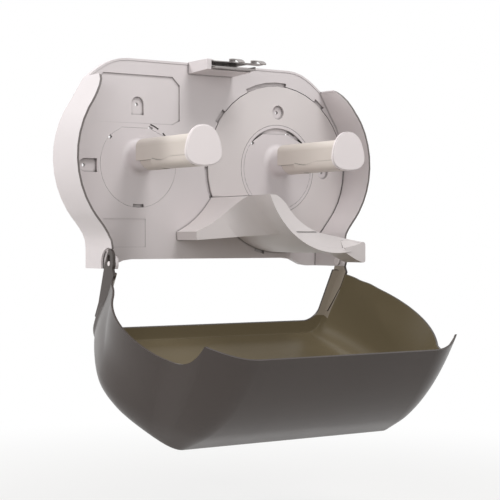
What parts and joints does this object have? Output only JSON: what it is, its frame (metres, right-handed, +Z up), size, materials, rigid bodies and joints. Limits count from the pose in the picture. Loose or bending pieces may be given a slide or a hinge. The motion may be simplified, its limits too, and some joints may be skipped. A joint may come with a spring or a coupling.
{
  "type": "double roll toilet paper dispenser",
  "caption": "Wall dispenser for two large paper rolls side by side, with spindles, a swinging transfer shutter, a top latch and a smoke front cover hinged open at the bottom.",
  "frame": {"origin": "on the wall plane, midway between the two hubs and level with them", "axes": "+X to the right seen from the front, +Y into the wall, +Z up"},
  "size_m": [0.4978, 0.3463, 0.5279],
  "materials": {
    "housing_plastic": "moulded, fine satin",
    "shutter_plastic": "moulded, fine satin",
    "spindle_plastic": "moulded, satin, a little darker",
    "cap_plastic": "moulded, smooth",
    "smoke_plastic": "dark translucent smoke, polished",
    "lock_steel": "zinc plated spring steel",
    "screw_steel": "zinc plated"
  },
  "bodies": {
    "housing": {"back_plate": "housing_plastic", "lock_housing": "housing_plastic", "lock_base": "lock_steel", "latch_pin": "lock_steel", "latch_spring": "lock_steel", "hinge_pin_left": "cap_plastic", "hub_left": "housing_plastic", "roll_arm_left": "spindle_plastic", "roll_arm_shell_left": "spindle_plastic", "end_cap_left": "cap_plastic", "hinge_pin_right": "cap_plastic", "hub_right": "housing_plastic", "roll_arm_right": "spindle_plastic", "roll_arm_shell_right": "spindle_plastic", "end_cap_right": "cap_plastic", "hub_screw_left_1": "screw_steel", "hub_screw_left_2": "screw_steel", "hub_screw_left_3": "screw_steel", "hub_screw_right_1": "screw_steel", "hub_screw_right_2": "screw_steel", "hub_screw_right_3": "screw_steel", "lock_screw_1": "screw_steel", "lock_screw_2": "screw_steel"},
    "cover": {"front_cover": "smoke_plastic"},
    "shutter": {"transfer_shutter": "shutter_plastic"},
    "latch": {"latch_plate": "lock_steel"}
  },
  "joints": [
    {"name": "cover_hinge", "type": "hinge", "parent": "housing", "child": "cover", "pos_m": [0, -0.067, -0.139], "axis": [1, 0, 0], "range_deg": [-120, 0]},
    {"name": "shutter_turn", "type": "hinge", "parent": "housing", "child": "shutter", "pos_m": [0.12, -0.0085, 0], "axis": [0, 1, 0], "range_deg": [0, 55]},
    {"name": "latch_tilt", "type": "hinge", "parent": "housing", "child": "latch", "pos_m": [0, -0.018, 0.1445], "axis": [1, 0, 0], "range_deg": [0, 5], "stiffness_Nm_per_rad": 0.34, "springref_deg": -4.58, "deforming": ["latch_spring"]}
  ]
}
